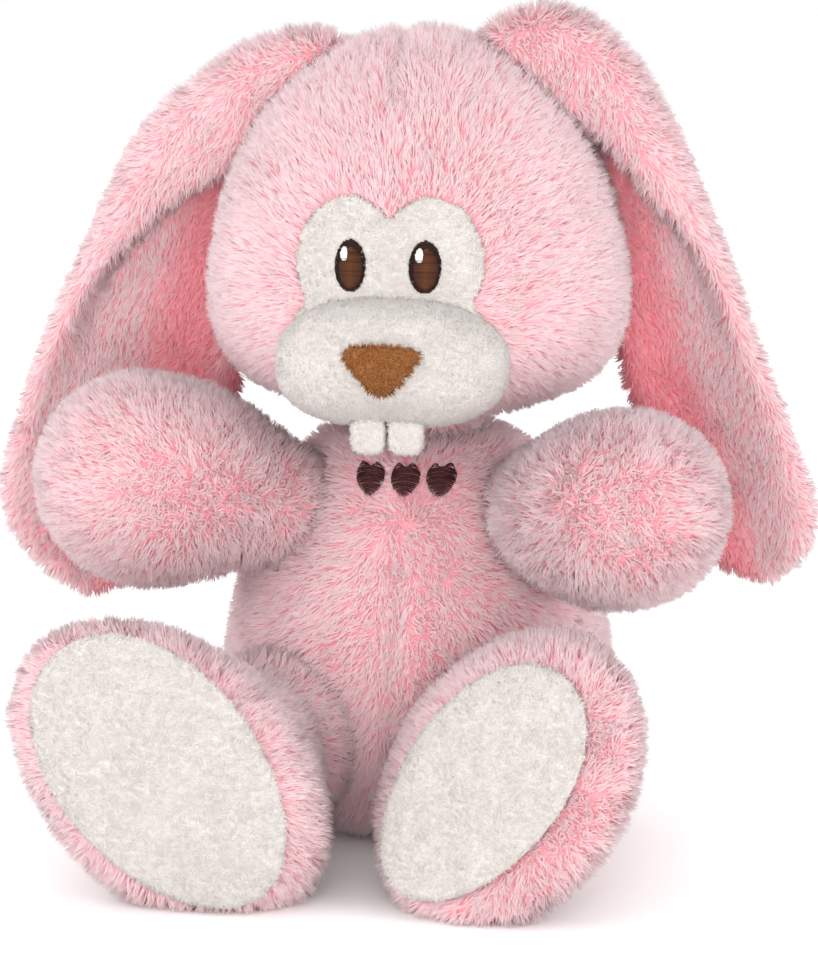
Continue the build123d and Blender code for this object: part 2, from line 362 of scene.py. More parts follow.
def cloth_material(name, dark, light, scale, depth, roughness=0.9):
    """Fabric with blotches of two tints and a fine grain in relief."""
    mat, shader = material(name, roughness, sheen=0.2, specular=0.2)
    color = ramp(mat, noise_of(mat, scale), [(0.3, dark), (0.7, light)])
    mat.node_tree.links.new(color, shader.inputs["Base Color"])
    bump(mat, shader, noise_of(mat, scale * 3, 6), depth)
    return mat


# Tints from the root over the middle to the tip of a strand, and that of painted shade in the hollows.
# The pink's darker, redder root is painted shade low in the pile.
PINK_TINTS = ((0.96, 0.45, 0.495), (0.975, 0.65, 0.69), (0.985, 0.86, 0.88), (0.98, 0.46, 0.51))
PINK_FUR = strand_material("pink_plush_pile", *PINK_TINTS, sheen=0.15)
PINK_BACKING = cloth_material("pink_plush_backing", (0.90, 0.38, 0.45), (0.94, 0.46, 0.52), 300, 0.0004)
FLEECE_TINTS = ((0.62, 0.59, 0.56), (0.75, 0.72, 0.69), (0.83, 0.80, 0.77), (0.9, 0.85, 0.82))
WHITE_FUR = strand_material("white_fleece_pile", *FLEECE_TINTS)
WHITE_BACKING = cloth_material("white_fleece_backing", *FLEECE_TINTS[:2], 900, 0.0006)
NOSE_TINTS = ((0.10, 0.034, 0.010), (0.27, 0.100, 0.028), (0.58, 0.27, 0.10), (0.4, 0.35, 0.3))
BROWN_FUR = strand_material("brown_nose_pile", *NOSE_TINTS, roughness=0.7)
BROWN_BACKING = cloth_material("brown_nose_backing", (0.24, 0.09, 0.025), (0.36, 0.14, 0.04), 900, 0.0004)


def thread(name, painted_shade_end, body):
    """Shiny thread with painted shade at both ends, where it dives into the cloth."""
    return strand_material(name, painted_shade_end, body, painted_shade_end, (0.5, 0.5, 0.5), roughness=0.5)


# The first tint of each thread is the painted shade at its two ends.
OUTLINE_THREAD = thread("outline_thread", (0.018, 0.007, 0.005), (0.030, 0.012, 0.008))
IRIS_THREAD = thread("iris_thread", (0.050, 0.017, 0.008), (0.105, 0.036, 0.014))
GLINT_THREAD = thread("glint_thread", (0.85, 0.85, 0.85), (0.95, 0.95, 0.95))
HEART_THREAD = thread("heart_thread", (0.035, 0.010, 0.010), (0.070, 0.020, 0.020))


def paint(obj, mat):
    """Gives the object that material alone."""
    obj.data.materials.clear()
    obj.data.materials.append(mat)


# ---------------------------------------------------------------- pile


def scattered(obj, per_mm2, rng, inside=None):
    """Random places all over a skin, at that many to the square millimetre, and their normals.

    Where inside is given, only the places that it says yes to are kept.
    """
    mesh = obj.data
    mesh.calc_loop_triangles()
    corners = np.zeros(len(mesh.loop_triangles) * 3, np.int64)
    mesh.loop_triangles.foreach_get("vertices", corners)
    corners = corners.reshape(-1, 3)
    co, normals = points_of(obj), normals_of(obj)
    a, b, c = (co[corners[:, i]] for i in range(3))
    area = 0.5 * np.linalg.norm(np.cross(b - a, c - a), axis=1)
    count = int(area.sum() / MM**2 * per_mm2 * THIN)
    pick = rng.choice(len(area), count, p=area / area.sum())
    u, v = rng.random((2, count, 1))
    u, v = np.where(u + v > 1, 1 - u, u), np.where(u + v > 1, 1 - v, v)
    places = a[pick] + u * (b[pick] - a[pick]) + v * (c[pick] - a[pick])
    na, nb, nc = (normals[corners[pick, i]] for i in range(3))
    facing = unit(na + u * (nb - na) + v * (nc - na))
    if inside is not None:
        keep = inside(places, facing)
        places, facing = places[keep], facing[keep]
    return places, facing


def finish_pile(obj, mat, body):
    """Gives pile or thread its material and its body."""
    paint(obj, mat)
    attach(obj, body)


def strands(name, roots, facing, comb, length, width, rng, mat, body,
            lean=0.7, tuft=FUR_TUFT, wild=0.2, painted_hollow_shade=0.0):
    """A piece of pile: three-sided tapered strands that stand on a skin, gathered in tufts.

    Each strand leans along comb by lean, with wild for how unruly it is; the last argument is how far
    its tint goes to the painted shade of the hollows. The first UV coordinate is the strand's random tone,
    darkened by that painted shade; the second runs from root to tip, and the normals stand out from the
    skin so that a tuft is lit as one.
    """
    count = len(roots)
    middle, luck = tufts(roots, tuft, 7)
    soft = waves(roots, 9 * MM, 3)
    loose = rng.normal(size=(count, 3))
    flat = comb - facing * (comb * facing).sum(1, keepdims=True)
    sway = flat * lean + soft * 0.45 + (luck - 0.5) * 0.6 + loose * wild
    way = unit(facing + sway)
    tall = length * (0.78 + 0.24 * luck[:, :1] + 0.2 * rng.random((count, 1)))
    gather = middle - roots
    gather -= facing * (gather * facing).sum(1, keepdims=True)
    tips = roots + way * tall + gather * TUFT_PULL
    way = unit(tips - roots)
    across = unit(np.cross(way, rng.normal(size=(count, 3))))
    third = np.cross(way, across)
    half = 0.58 * width * (0.75 + 0.5 * rng.random((count, 1)))
    verts = np.zeros((count, 4, 3))
    shine = np.zeros((count, 4, 3))
    for k, angle in enumerate(np.radians([0, 120, 240])):
        spoke = across * np.cos(angle) + third * np.sin(angle)
        verts[:, k] = roots - facing * ROOT_DEPTH + spoke * half
        shine[:, k] = unit(facing + spoke * 0.45 + soft * 0.1)
    verts[:, 3] = tips
    shine[:, 3] = unit(facing + way * 0.5)
    verts[..., 2] = np.maximum(verts[..., 2], FLOOR_GAP)
    corners = np.array([[0, 1, 3], [1, 2, 3], [2, 0, 3]])
    loops = (np.arange(count)[:, None, None] * 4 + corners).ravel()
    mesh = bpy.data.meshes.new(name)
    mesh.vertices.add(count * 4)
    mesh.vertices.foreach_set("co", verts.ravel())
    mesh.loops.add(count * 9)
    mesh.loops.foreach_set("vertex_index", loops)
    mesh.polygons.add(count * 3)
    mesh.polygons.foreach_set("loop_start", np.arange(count * 3) * 3)
    mesh.update(calc_edges=True)
    mesh.shade_smooth()
    tone_with_painted_shade = (0.4 + 0.35 * luck[:, 1] + 0.25 * rng.random(count)) * (1 - painted_hollow_shade)
    uv = np.zeros((count, 9, 2))
    uv[:, :, 0] = tone_with_painted_shade[:, None]
    uv[:, 2::3, 1] = 1
    mesh.uv_layers.new(name="OFBake").data.foreach_set("uv", uv.ravel())
    normals = mesh.attributes.new("custom_normal", "FLOAT_VECTOR", "POINT")
    normals.data.foreach_set("vector", shine.astype(np.float32).ravel())
    finish_pile(new_object(name, mesh), mat, body)


def fur(name, skin, comb_of, per_mm2, seed, body, inside=None, length=PILE, lean=0.7, painted_hollow_shade_of=None):
    """Pink pile all over a skin, in as many pieces as its number of strands needs."""
    rng = np.random.default_rng(seed)
    roots, facing = scattered(skin, per_mm2, rng, inside)
    order = np.argsort(roots[:, 1])
    groups = np.array_split(order, max(1, -(-len(roots) // MAX_STRANDS)))
    for number, group in enumerate(groups, 1):
        p, n = roots[group], facing[group]
        label = f"{name}_{number}" if len(groups) > 1 else name
        strands(label, p, n, comb_of(p), length, FUR_WIDTH, rng, PINK_FUR, body,
                lean, painted_hollow_shade=painted_hollow_shade_of(p, n) if painted_hollow_shade_of else 0.0)


def nap(name, skin, pile, per_mm2, seed, body, mat, inside=None):
    """Short curly pile all over a skin."""
    rng = np.random.default_rng(seed)
    roots, facing = scattered(skin, per_mm2, rng, inside)
    comb = waves(roots, 3 * MM, seed) * 1.6
    strands(name, roots, facing, comb, pile, NAP_WIDTH, rng, mat, body,
            lean=0.9, tuft=NAP_TUFT, wild=0.6)


def finish_skin(skin, body, mat, nodes):
    """Gives a skin its backing cloth and its body, and hides the CAD nodes that it stands for."""
    paint(skin, mat)
    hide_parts(*nodes)
    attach(skin, body)


# ---------------------------------------------------------------- the stuffed skins

joints = {j["name"]: j for j in frame["record"]["behaviour"]["joints"]}


def pivot(name):
    """Where a joint turns."""
    return np.array(joints[name]["pos_m"])


body_skin, head_skin, neck_skin, tail_skin = (
    hull_skin(f"{part}_skin", f"{part}_stuffing") for part in ("body", "head", "neck", "tail")
)
arm_skins = {s: node_skin(f"arm_{s}_skin", f"arm_{s}_stuffing") for s in SIDES}
leg_skins = {s: node_skin(f"leg_{s}_skin", f"leg_{s}_stuffing") for s in SIDES}

# How the photo's limbs differ from the CAD's. Shifts are to the toy's left, back and up.
SOLE_SHARE = {"left": 0.88, "right": 1.02}  # size against the CAD's sole
SOLE_SHIFT = {"left": (-1.5 * MM, 0, -0.8 * MM), "right": (1 * MM, 0, 0)}
FOOT_SHIFT = {"left": (5 * MM, 0, -1.5 * MM), "right": (-4.5 * MM, 0, -2.5 * MM)}
FOOT_RIM = {"left": (0.03, 0.20), "right": (0.15, 0.18)}  # along and across the sole
SHOULDER_GIRTH = 0.66
ARM_GIRTH = {"left": 1.0, "right": 1.11}  # at the paw
ARM_SHIFT = {"left": (3.5 * MM, 0, 0), "right": (0, 0, -4.8 * MM)}


def sole_frame(side):
    """The middle of a sole, the three ways along it, and how far it reaches along two of them."""
    co = points_of(frame["nodes"][f"sole_{side}"])
    centre = co.mean(0)
    _, _, (long_way, _, out) = np.linalg.svd(co - centre, full_matrices=False)
    long_way = long_way * np.sign(long_way[2])
    out = -out * np.sign(out[1])
    short_way = np.cross(out, long_way)
    reach = np.abs((co - centre) @ long_way).max() * SOLE_SHARE[side]
    wide = np.abs((co - centre) @ short_way).max() * SOLE_SHARE[side]
    return centre + SOLE_SHIFT[side], out, long_way, short_way, reach, wide


soles = {s: sole_frame(s) for s in SIDES}


def slim_shoulder(p, side):
    """Narrows an arm toward its shoulder, where the body's pile covers it."""
    start = pivot(f"arm_{side}_raise")
    axis = unit(p.mean(0) - start)
    along = (p - start) @ axis
    share = along / along.max()
    ring = p - start - np.outer(along, axis)
    girth = SHOULDER_GIRTH + (ARM_GIRTH[side] - SHOULDER_GIRTH) * smooth(-0.2, 0.42, share)
    shift = np.outer(smooth(0.1, 0.6, share), ARM_SHIFT[side])
    return start + np.outer(along, axis) + ring * girth[:, None] + shift


def even_thigh(p, side):
    """Evens out a leg: narrower at the hip, fullest just past it, its own girth at the foot."""
    start = pivot(f"leg_{side}_lift")
    way = soles[side][0] - SOLE_SHIFT[side] - start
    share = (p - start) @ way / (way @ way)
    ring = p - start - np.outer(share, way)
    girth = 0.82 + 0.4 * smooth(-0.1, 0.16, share) - 0.18 * smooth(0.2, 0.5, share)
    girth -= 0.04 * smooth(0.5, 0.8, share)
    return start + np.outer(share, way) + ring * girth[:, None]


def plump_rim(p, side):
    """Swells a foot just behind its sole."""
    centre, out, long_way, short_way = soles[side][:4]
    behind = (p - centre) @ out
    p = p + np.outer(smooth(-60 * MM, -10 * MM, behind), FOOT_SHIFT[side])
    swelling = np.sin(np.pi * np.clip((behind + 30 * MM) / (34 * MM), 0, 1))
    for way, share in zip((long_way, short_way), FOOT_RIM[side]):
        p = p + np.outer(((p - centre) @ way) * swelling * share, way)
    return p


def broad_shoulders(p):
    """Widens the body where the arms start, and a little all over."""
    wide = 1.03 + 0.14 * smooth(90 * MM, 120 * MM, p[:, 2])
    return np.stack([p[:, 0] * wide, p[:, 1], p[:, 2]], 1)


def tall_crown(p):
    """Raises the crown of the head."""
    return p + np.outer(smooth(195 * MM, 245 * MM, p[:, 2]), (0, 0, 3 * MM))


set_points(body_skin, broad_shoulders(points_of(body_skin)))
set_points(head_skin, tall_crown(points_of(head_skin)))
for side in SIDES:
    set_points(arm_skins[side], slim_shoulder(points_of(arm_skins[side]), side))
    set_points(leg_skins[side], plump_rim(even_thigh(points_of(leg_skins[side]), side), side))
stuffed = [body_skin, head_skin, tail_skin, *arm_skins.values(), *leg_skins.values()]
blow_up(stuffed, BLOW_CAP)
fuller = {skin: 0.8 * MM for skin in stuffed}
fuller.update({skin: 1.6 * MM for skin in arm_skins.values()})
fuller.update({body_skin: 2.4 * MM, head_skin: 2.8 * MM})
for skin in stuffed:
    subdivide(skin)
    swell(skin, fuller[skin])
    above_floor(skin)


def dent(skin, depth_at):
    """Pushes a skin in along its normals, by a depth that depends on the place."""
    set_points(skin, points_of(skin) - normals_of(skin) * depth_at(points_of(skin))[:, None])


def crown_dent(p):
    """A short pinch across the front of the crown."""
    return 3.5 * MM * np.exp(-(((p[:, 0] + 4 * MM) / (3 * MM)) ** 2)) * smooth(228 * MM, 242 * MM, p[:, 2])


def belly_dent(p):
    """The seam down the middle of the belly."""
    front = smooth(0, -20 * MM, p[:, 1])
    return 2.2 * MM * front * np.exp(-((p[:, 0] / (3 * MM)) ** 2)) * smooth(104 * MM, 92 * MM, p[:, 2])


dent(head_skin, crown_dent)
dent(body_skin, belly_dent)


# ---------------------------------------------------------------- the ears

# Along each edge from the root to the tip, as distances out from and up from the hinge, in mm.
EAR_TIPS = {"left": (76, -163), "right": (79, -175)}
EAR_INNER = {
    "left": [(8, -8), (13, -18), (18, -40), (25, -80), (37, -122), (54, -153)],
    "right": [(12, -11), (16, -22), (20, -45), (22, -80), (27, -112), (38, -140), (56, -164)],
}
EAR_OUTER = {
    "left": [(-21, 6), (-10, 17), (7, 21), (25, 9), (39, -13), (53, -46), (67, -84), (81, -116),
             (88, -146)],
    "right": [(-17, 7), (-6, 12), (11, 10), (30, -1), (50, -20), (66, -50), (82, -82), (95, -111),
              (103, -147)],
}
EAR_STEPS, EAR_ACROSS = 64, 30
EAR_ROLL = 7  # radius that the outer edge rolls forward at, in mm
EAR_FLAP = 27  # width at the root of what is rolled forward
EAR_HALF = 4.2  # half of the ear's thickness
EAR_CUP = 4  # depth of the hollow
EAR_BACK = 8  # how far back the lower part hangs, clear of the paws


def smooth_line(points, count):
    """Evenly spread points on a curve through the given ones."""
    curve = bpy.data.curves.new("line", "CURVE")
    curve.dimensions = "3D"
    spline = curve.splines.new("BEZIER")
    spline.bezier_points.add(len(points) - 1)
    for bezier, p in zip(spline.bezier_points, points):
        bezier.co = (p[0], p[1], 0)
        bezier.handle_left_type = bezier.handle_right_type = "AUTO"
    spline.resolution_u = 24
    holder = new_object("line", curve)
    bpy.context.view_layer.update()
    mesh = bpy.data.meshes.new_from_object(holder)
    co = np.array([v.co[:2] for v in mesh.vertices])
    bpy.data.objects.remove(holder)
    bpy.data.meshes.remove(mesh)
    bpy.data.curves.remove(curve)
    run = np.concatenate([[0], np.cumsum(np.linalg.norm(np.diff(co, axis=0), axis=1))])
    even = np.linspace(0, run[-1], count)
    return np.stack([np.interp(even, run, co[:, i]) for i in (0, 1)], 1)


def ear_skin(side):
    """A long ear whose outer edge rolls forward over its front, most of all near the root."""
    inner = smooth_line(EAR_INNER[side] + [EAR_TIPS[side]], EAR_STEPS)
    outer = smooth_line(EAR_OUTER[side] + [EAR_TIPS[side]], EAR_STEPS)
    verts = []
    for i, t in enumerate(np.linspace(0, 1, EAR_STEPS)):
        width = max(np.linalg.norm(outer[i] - inner[i]), 1.0)
        way = unit(outer[i] - inner[i])
        radius = min(EAR_ROLL, 0.3 * width)
        turn = np.pi * (1 - 0.62 * smooth(0.3, 0.85, t))
        flap = EAR_FLAP * (1 - smooth(0.05, 0.55, t))
        end = smooth(0, 0.05, t) * smooth(0, 0.05, 1 - t)
        flat = width - radius
        total = flat + radius * turn + flap
        s = total * (0.5 - 0.5 * np.cos(np.linspace(0, np.pi, EAR_ACROSS)))
        angle = np.clip((s - flat) / radius, 0, turn)
        rest = np.maximum(s - flat - radius * turn, 0)
        across = np.minimum(s, flat) + radius * np.sin(angle) + rest * np.cos(turn)
        depth = -radius * (1 - np.cos(angle)) - rest * np.sin(turn)
        cup = EAR_CUP * np.sin(np.pi * np.clip(s / flat, 0, 1)) * smooth(0.1, 0.4, t)
        cup = cup + EAR_BACK * smooth(0.25, 0.8, t)
        half = EAR_HALF * (0.5 + 0.5 * end) * np.sqrt(np.maximum(1 - (2 * s / total - 1) ** 8, 0.01))
        for face in (-1, 1):
            a = across + face * half * np.sin(angle)
            y = depth + cup + face * half * np.cos(angle)
            ring = np.stack([inner[i, 0] + way[0] * a, y, inner[i, 1] + way[1] * a], 1)
            verts.append(ring if face < 0 else ring[::-1])
    verts = np.concatenate(verts) * np.array([SIDES[side], 1, 1]) * MM + pivot(f"ear_{side}_swing")
    ring = 2 * EAR_ACROSS
    faces = [
        (i * ring + j, i * ring + (j + 1) % ring, (i + 1) * ring + (j + 1) % ring, (i + 1) * ring + j)
        for i in range(EAR_STEPS - 1)
        for j in range(ring)
    ]
    for first in (0, (EAR_STEPS - 1) * ring):
        faces += [
            (first + j, first + j + 1, first + ring - 2 - j, first + ring - 1 - j)
            for j in range(EAR_ACROSS - 1)
        ]
    skin = facing_out(mesh_object(f"ear_{side}_skin", verts, faces))
    return remeshed(skin, EAR_MESH), inner, outer


ears = {side: ear_skin(side) for side in SIDES}


def ear_painted_hollow_shade(p, n, side):
    """How much painted shade a strand gets in the hollow of an ear: 0 outside, 1 deepest, next to the
    head.
    """
    _, inner, outer = ears[side]
    place = (p - pivot(f"ear_{side}_swing")) / MM
    out, up = place[:, 0] * SIDES[side], place[:, 2]
    falling = outer[np.argmax(outer[:, 1]):]
    near, far = (np.interp(up, line[::-1, 1], line[::-1, 0]) for line in (inner, falling))
    share = (out - near) / np.maximum(far - near, 1)
    back = EAR_BACK * smooth(-20, -125, up)
    front = smooth(0.1, -0.3, n[:, 1]) * smooth(-9, -4, place[:, 1] - back)
    return front * (1 - smooth(0.3, 0.9, share)) * smooth(-6, -20, up) * 0.95


# ---------------------------------------------------------------- the face

FACE_X = -1.9 * MM  # the face looks a touch to one side
EYE_X, EYE_Z = 11.6 * MM, 188.5 * MM
LOBE_X, LOBE_Z = 12.5 * MM, 189 * MM  # middle of each of the mask's two upper lobes
MASK_BASE_Z = 168 * MM
MUZZLE_Z = 159 * MM
head_tree = surface_of(head_skin)


def in_oval(x, z, half_x, half_z, power=2.0):
    """Whether a place is inside an oval of those half sizes, squarer for a higher power."""
    return (np.abs(x) / half_x) ** power + (np.abs(z) / half_z) ** power < 1


def in_mask(x, z, margin=0.0):
    """Whether a place on the face is under the white mask."""
    x = x - FACE_X
    lobes = in_oval(np.abs(x) - LOBE_X, z - LOBE_Z, 17 * MM + margin, 20.5 * MM + margin)
    return lobes | in_oval(x, z - MASK_BASE_Z, 31 * MM + margin, 15 * MM + margin)


def in_muzzle(x, z, margin=0.0):
    """Whether a place on the face is behind the muzzle."""
    return in_oval(x, z - MUZZLE_Z, 34 * MM + margin, 19 * MM + margin, 2.4)


def patch(name, tree, inside, left, right, bottom, top, step, lift, thickness):
    """A layer of cloth that lies on a surface where the outline says, raised by lift(x, z)."""
    xs = np.arange(left, right + step, step)
    zs = np.arange(bottom, top + step, step)
    index, verts, faces = {}, [], []
    for i, x in enumerate(xs):
        for j, z in enumerate(zs):
            if not inside(x, z):
                continue
            hit, normal = from_front(tree, x, z)
            if hit is None:
                continue
            index[i, j] = len(verts)
            verts.append(hit + normal * lift(x, z))
    for i, j in index:
        ring = [(i, j), (i + 1, j), (i + 1, j + 1), (i, j + 1)]
        if all(k in index for k in ring):
            faces.append([index[k] for k in ring])
    obj = mesh_object(name, verts, faces)
    solid = obj.modifiers.new("Solid", "SOLIDIFY")
    solid.thickness = thickness
    solid.offset = -1
    relax = obj.modifiers.new("Relax", "SMOOTH")
    relax.iterations = 2
    apply_modifiers(obj)
    obj.data.shade_smooth()
    return obj


def rounded_block(name, power, segments, rings):
    """A smooth ball, and its points pushed out toward a block whose sides are at 1."""
    bm = bmesh.new()
    bmesh.ops.create_uvsphere(bm, u_segments=segments, v_segments=rings, radius=1)
    bm.verts.index_update()
    faces = []
    for face in bm.faces:  # these come in another order each time, so they are sorted
        corners = [v.index for v in face.verts]
        first = corners.index(min(corners))
        faces.append(corners[first:] + corners[:first])
    obj = mesh_object(name, [v.co for v in bm.verts], sorted(faces))
    bm.free()
    co = points_of(obj)
    return obj, co / (np.abs(co) ** power).sum(1, keepdims=True) ** (1 / power)


def muzzle_mesh():
    """A wide, soft muzzle that is fullest low down, with a slight dip under the nose."""
    low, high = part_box("muzzle_shell")
    centre = Vector((FACE_X / 2, -51 * MM, (low.z + high.z) / 2 - 0.5 * MM))
    obj, block = rounded_block("muzzle_skin", 2.5, 96, 64)
    x, y, z = block.T
    wide = 35.5 - 3.5 * smooth(0.1, 0.9, z) + 1.0 * smooth(0.0, -0.6, z)
    front = 23.5 + 2.0 * np.exp(-((z + 0.2) ** 2) / 0.3)
    front = front - 2.2 * np.exp(-(x**2) / 0.05) * smooth(0, -0.8, z)
    tall = 20.0 + 1.2 * np.abs(x) * smooth(0.2, -0.8, z)
    set_points(obj, np.stack([x * wide, y * front, z * tall], 1) * MM + np.array(centre))
    return obj


muzzle_skin = muzzle_mesh()
muzzle_tree = surface_of(muzzle_skin)
MASK_LIFT = 1.6 * MM  # also its thickness
face_mask = patch("face_mask_cloth", head_tree, in_mask, -34 * MM, 32 * MM, 152 * MM, 211 * MM,
                  1 * MM, lambda x, z: MASK_LIFT, MASK_LIFT)
mask_tree = surface_of(face_mask)

NOSE_X, NOSE_Z = -1 * MM, 161 * MM
NOSE_HALF = (11.2 * MM, 7.4 * MM)
NOSE_ROUND = 2.6  # corners are sharper for a higher number


def nose_reach(x, z):
    """How far out a place is in the nose's round-cornered triangle: 1 is its edge."""
    u, v = (x - NOSE_X) / NOSE_HALF[0], (z - NOSE_Z) / NOSE_HALF[1]
    sides = np.array([v * 1.15 - 0.05, 0.88 * u - 0.5 * v, -0.88 * u - 0.5 * v])
    return np.log(np.exp(NOSE_ROUND * sides).sum()) / NOSE_ROUND + 0.12


def nose_lift(x, z):
    """How high the nose stands on the muzzle: a round cushion."""
    return (1.0 + 3.2 * max(0.0, 1 - max(0.0, nose_reach(x, z)) ** 3) ** 0.5) * MM


nose_skin = patch("nose_cloth", muzzle_tree, lambda x, z: nose_reach(x, z) < 1,
                  -14 * MM, 14 * MM, 147 * MM, 171 * MM, 0.7 * MM, nose_lift, 1.2 * MM)


TOOTH_SHARE = np.array([0.98, 1.0, 1.0])  # of the CAD's tooth
TOOTH_SHIFT = np.array([FACE_X / 2, 0, 1.2 * MM])


def tooth_mesh(side):
    """A small soft tab with round edges."""
    low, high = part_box(f"tooth_{side}")
    obj, block = rounded_block(f"tooth_{side}_cloth", 3.2, 32, 24)
    half = np.array((high - low) / 2) * TOOTH_SHARE
    set_points(obj, block * half + np.array((low + high) / 2) + TOOTH_SHIFT)
    return obj


THREAD = 0.24 * MM  # radius of a thread
ROW = 0.42 * MM  # from one thread to the next
RAGGED = 0.08 * MM  # how unevenly the threads end
THREAD_PROFILE = [(-1, 0), (-0.7, 0.75), (0, 1), (0.7, 0.75), (1, 0)]  # up and out, as radii


def satin(name, tree, spans, rows, lift, mat, body, seed):
    """Embroidery: threads side by side, each laid on a surface from edge to edge."""
    rng = np.random.default_rng(seed)
    verts, faces, shades = [], [], []
    bend = np.linspace(0, 1, 9)
    sides = len(THREAD_PROFILE)
    for z in rows:
        for start, end in spans(z):
            start, end = start + rng.normal() * RAGGED, end + rng.normal() * RAGGED
            if end - start < 3 * THREAD:
                continue
            tone = rng.random()
            first = len(verts)
            for t in bend:
                x = start + (end - start) * t
                hit, normal = from_front(tree, x, z)
                if hit is None:
                    break
                arch = lift * (0.25 + 0.75 * np.sin(np.pi * np.clip(t, 0.03, 0.97)) ** 0.5)
                for up, height in THREAD_PROFILE:
                    verts.append(hit + normal * (arch + height * THREAD) + Vector((0, 0, up * THREAD)))
            else:
                for k in range(len(bend) - 1):
                    for m in range(sides - 1):
                        a = first + k * sides + m
                        faces.append((a, a + 1, a + 1 + sides, a + sides))
                        shades.append((tone, bend[k]))
    mesh = bpy.data.meshes.new(name)
    mesh.from_pydata([tuple(v) for v in verts], [], faces)
    layer = mesh.uv_layers.new(name="OFBake")
    # The first UV coordinate is a thread's random tone; the second runs along it, for the painted shade at
    # its ends.
    step = bend[1]
    uv = [(s, b + step * d) for s, b in shades for d in (0, 0, 1, 1)]
    layer.data.foreach_set("uv", np.array(uv).ravel())
    mesh.shade_smooth()
    obj = new_object(name, mesh)
    finish_pile(obj, mat, body)
    return obj


def oval_spans(cx, cz, rx, rz):
    """Where rows cross an oval with that centre and those half sizes."""

    def spans(z):
        share = 1 - ((z - cz) / rz) ** 2
        return [(cx - rx * share**0.5, cx + rx * share**0.5)] if share > 0 else []

    return spans


def heart_spans(cx, cz, size):
    """Where rows cross a small heart."""

    def spans(z):
        xs = np.linspace(-1.3, 1.3, 131)
        y = (z - cz) / size
        inside = (xs**2 + y**2 - 1) ** 3 - xs**2 * y**3 < 0
        edges = np.flatnonzero(np.diff(np.concatenate([[0], inside.astype(int), [0]])))
        return [(cx + xs[a] * size, cx + xs[b - 1] * size) for a, b in zip(edges[::2], edges[1::2])]

    return spans


EYE_HALF = (5 * MM, 8 * MM)
IRIS_HALF, IRIS_SHIFT = (3.7 * MM, 6.2 * MM), (0.2 * MM, -0.6 * MM)
GLINT_HALF, GLINT_SHIFT = (1.3 * MM, 2.2 * MM), (-1.7 * MM, 3.4 * MM)

for side, sign in SIDES.items():
    x = FACE_X + sign * EYE_X
    rows = np.arange(EYE_Z - EYE_HALF[1], EYE_Z + EYE_HALF[1], ROW)
    outline = satin(f"eye_{side}_outline", mask_tree, oval_spans(x, EYE_Z, *EYE_HALF), rows,
                    0.9 * MM, OUTLINE_THREAD, "head", 11)
    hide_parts(f"eye_{side}")
    iris = oval_spans(x + IRIS_SHIFT[0], EYE_Z + IRIS_SHIFT[1], *IRIS_HALF)
    satin(f"eye_{side}_iris", mask_tree, iris, rows, 1.5 * MM, IRIS_THREAD, "head", 12)
    spot = oval_spans(x + GLINT_SHIFT[0], EYE_Z + GLINT_SHIFT[1], *GLINT_HALF)
    glint = satin(f"eye_{side}_glint", mask_tree, spot, rows, 2.1 * MM, GLINT_THREAD, "head",
                  13)
    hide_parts(f"eye_highlight_{side}")

HEART_Z = 114.5 * MM
HEART_SIZE = 4 * MM
HEARTS_X = (-10.5 * MM, 0.5 * MM, 11.5 * MM)
body_tree = surface_of(body_skin)
for number, x in enumerate(HEARTS_X, 1):
    rows = np.arange(HEART_Z - 5.5 * MM, HEART_Z + 6 * MM, ROW)
    heart = satin(f"heart_{number}", body_tree, heart_spans(x, HEART_Z, HEART_SIZE), rows,
                  3.6 * MM, HEART_THREAD, "torso", 20 + number)
    if number == 1:
        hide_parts("chest_embroidery")


# ---------------------------------------------------------------- the soles


SOLE_EGG = 0.07  # share by which the toe end is wider and the heel end narrower
SOLE_CROWN = 2.6 * MM  # height of the middle over the edge
SOLE_EDGE = 1.4 * MM  # height of the rounded edge
SOLE_BACK = 1 * MM  # how deep the pad sits in the foot


def sole_mesh(side):
    """An egg-shaped pad of fleece, slightly crowned, on the flat of the foot."""
    centre, out, long_way, short_way, reach, wide = soles[side]
    rings, spokes = 26, 96
    verts, faces = [], []
    for layer in (1, -1):
        for r in np.linspace(0.03, 1, rings)[::layer]:
            front = SOLE_CROWN * (1 - r**2.5) + SOLE_EDGE * (1 - r**12)
            raised = out * (front if layer == 1 else -SOLE_BACK)
            for a in np.linspace(0, 2 * np.pi, spokes, endpoint=False):
                egg = 1 + SOLE_EGG * np.cos(a)
                verts.append(centre + long_way * np.cos(a) * r * reach
                             + short_way * np.sin(a) * r * wide * egg + raised)
    for i in range(2 * rings - 1):
        for j in range(spokes):
            faces.append((i * spokes + j, i * spokes + (j + 1) % spokes,
                          (i + 1) * spokes + (j + 1) % spokes, (i + 1) * spokes + j))
    faces += [tuple(first + j for j in range(spokes)) for first in (0, (2 * rings - 1) * spokes)]
    return above_floor(facing_out(mesh_object(f"sole_{side}_cloth", verts, faces)))


# ---------------------------------------------------------------- skins, pile and bodies

finish_skin(body_skin, "torso", PINK_BACKING,
              ["body_shell", "body_stuffing", "bean_pouch", "pellets"])
finish_skin(head_skin, "head", PINK_BACKING, ["head_shell", "head_stuffing"])
finish_skin(neck_skin, "neck", PINK_BACKING, ["neck_stuffing"])
finish_skin(tail_skin, "tail", PINK_BACKING, ["tail_shell", "tail_stuffing"])
finish_skin(muzzle_skin, "head", WHITE_BACKING, ["muzzle_shell", "muzzle_stuffing"])
finish_skin(face_mask, "head", WHITE_BACKING, ["face_mask"])
finish_skin(nose_skin, "head", BROWN_BACKING, ["nose"])

FACE_MIDDLE = np.array([0, -60 * MM, 168 * MM])


def head_comb(p):
    """The head's pile is brushed away from the face."""
    return unit((p - FACE_MIDDLE) * np.array([1, 0.6, 1.15]))


